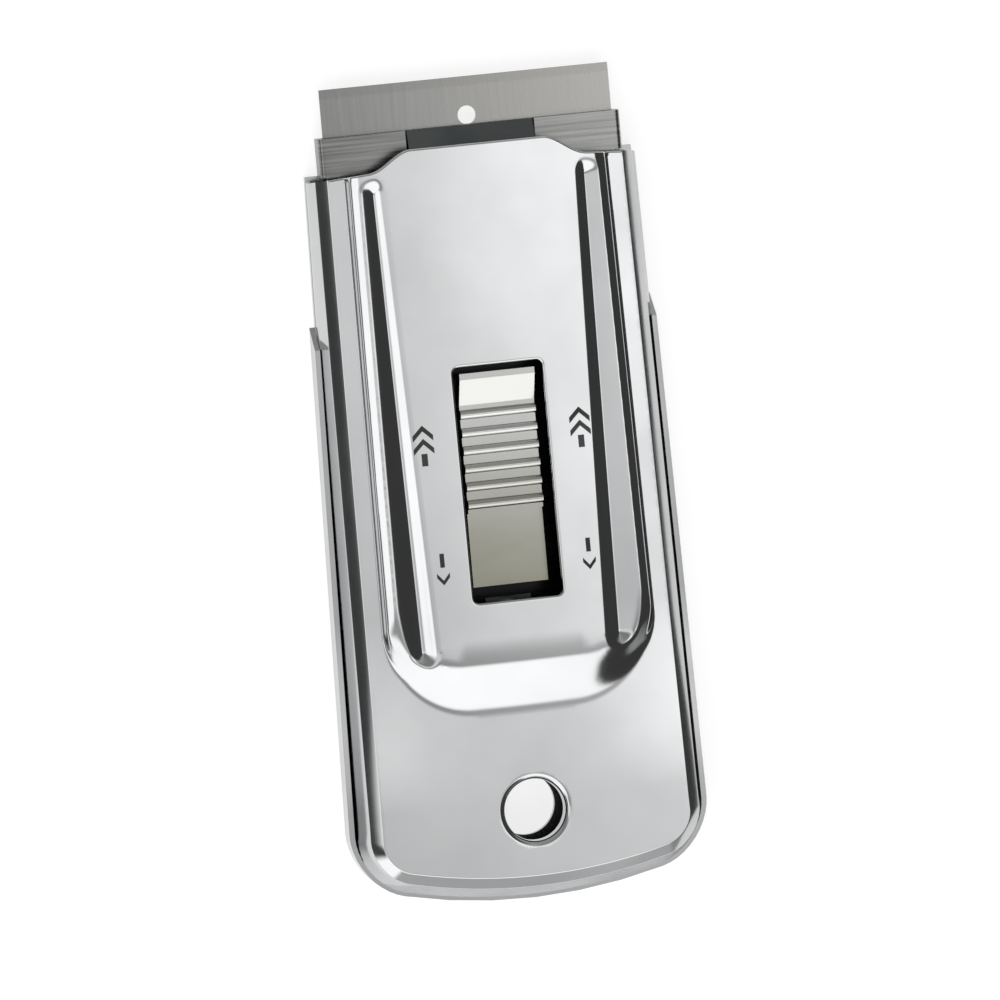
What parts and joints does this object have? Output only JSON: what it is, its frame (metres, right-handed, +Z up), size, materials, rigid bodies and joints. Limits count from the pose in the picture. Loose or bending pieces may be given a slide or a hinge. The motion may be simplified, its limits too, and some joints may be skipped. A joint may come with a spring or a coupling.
{
  "type": "razor blade scraper",
  "caption": "Pressed-steel scraper with a sliding carrier that pushes a single-edge razor blade out of a flat handle and draws it back.",
  "frame": {"origin": "middle of the base of the whole object, lying on its back plate with the blade out", "axes": "+Y towards the cutting edge, +Z up out of the cover, X across the blade"},
  "size_m": [0.0476, 0.1068, 0.0088],
  "materials": {
    "front_cover": "polished chrome plate",
    "back_plate": "polished chrome plate",
    "blade_carrier": "plain nickel plate",
    "thumb_piece": "bright nickel plate",
    "thumb_rivets": "plain steel",
    "guide_pin": "plain steel",
    "blade_spring": "spring steel",
    "spring_rivets": "plain steel",
    "drag_spring": "spring steel",
    "drag_rivet": "plain steel",
    "razor_blade": "ground steel",
    "blade_spine": "folded steel strip"
  },
  "bodies": {
    "body": {"front_cover": "front_cover", "back_plate": "back_plate"},
    "slide": {"blade_carrier": "blade_carrier", "thumb_piece": "thumb_piece", "thumb_rivets": "thumb_rivets", "guide_pin": "guide_pin", "blade_spring": "blade_spring", "spring_rivets": "spring_rivets", "drag_spring": "drag_spring", "drag_rivet": "drag_rivet"},
    "blade": {"razor_blade": "razor_blade", "blade_spine": "blade_spine"}
  },
  "joints": [
    {"name": "carrier_slide", "type": "slide", "parent": "body", "child": "slide", "axis": [0, 1, 0], "range_m": [-0.0114, 0]},
    {"name": "blade_removal", "type": "slide", "parent": "slide", "child": "blade", "axis": [0, 1, 0], "range_m": [0, 0.02]}
  ]
}
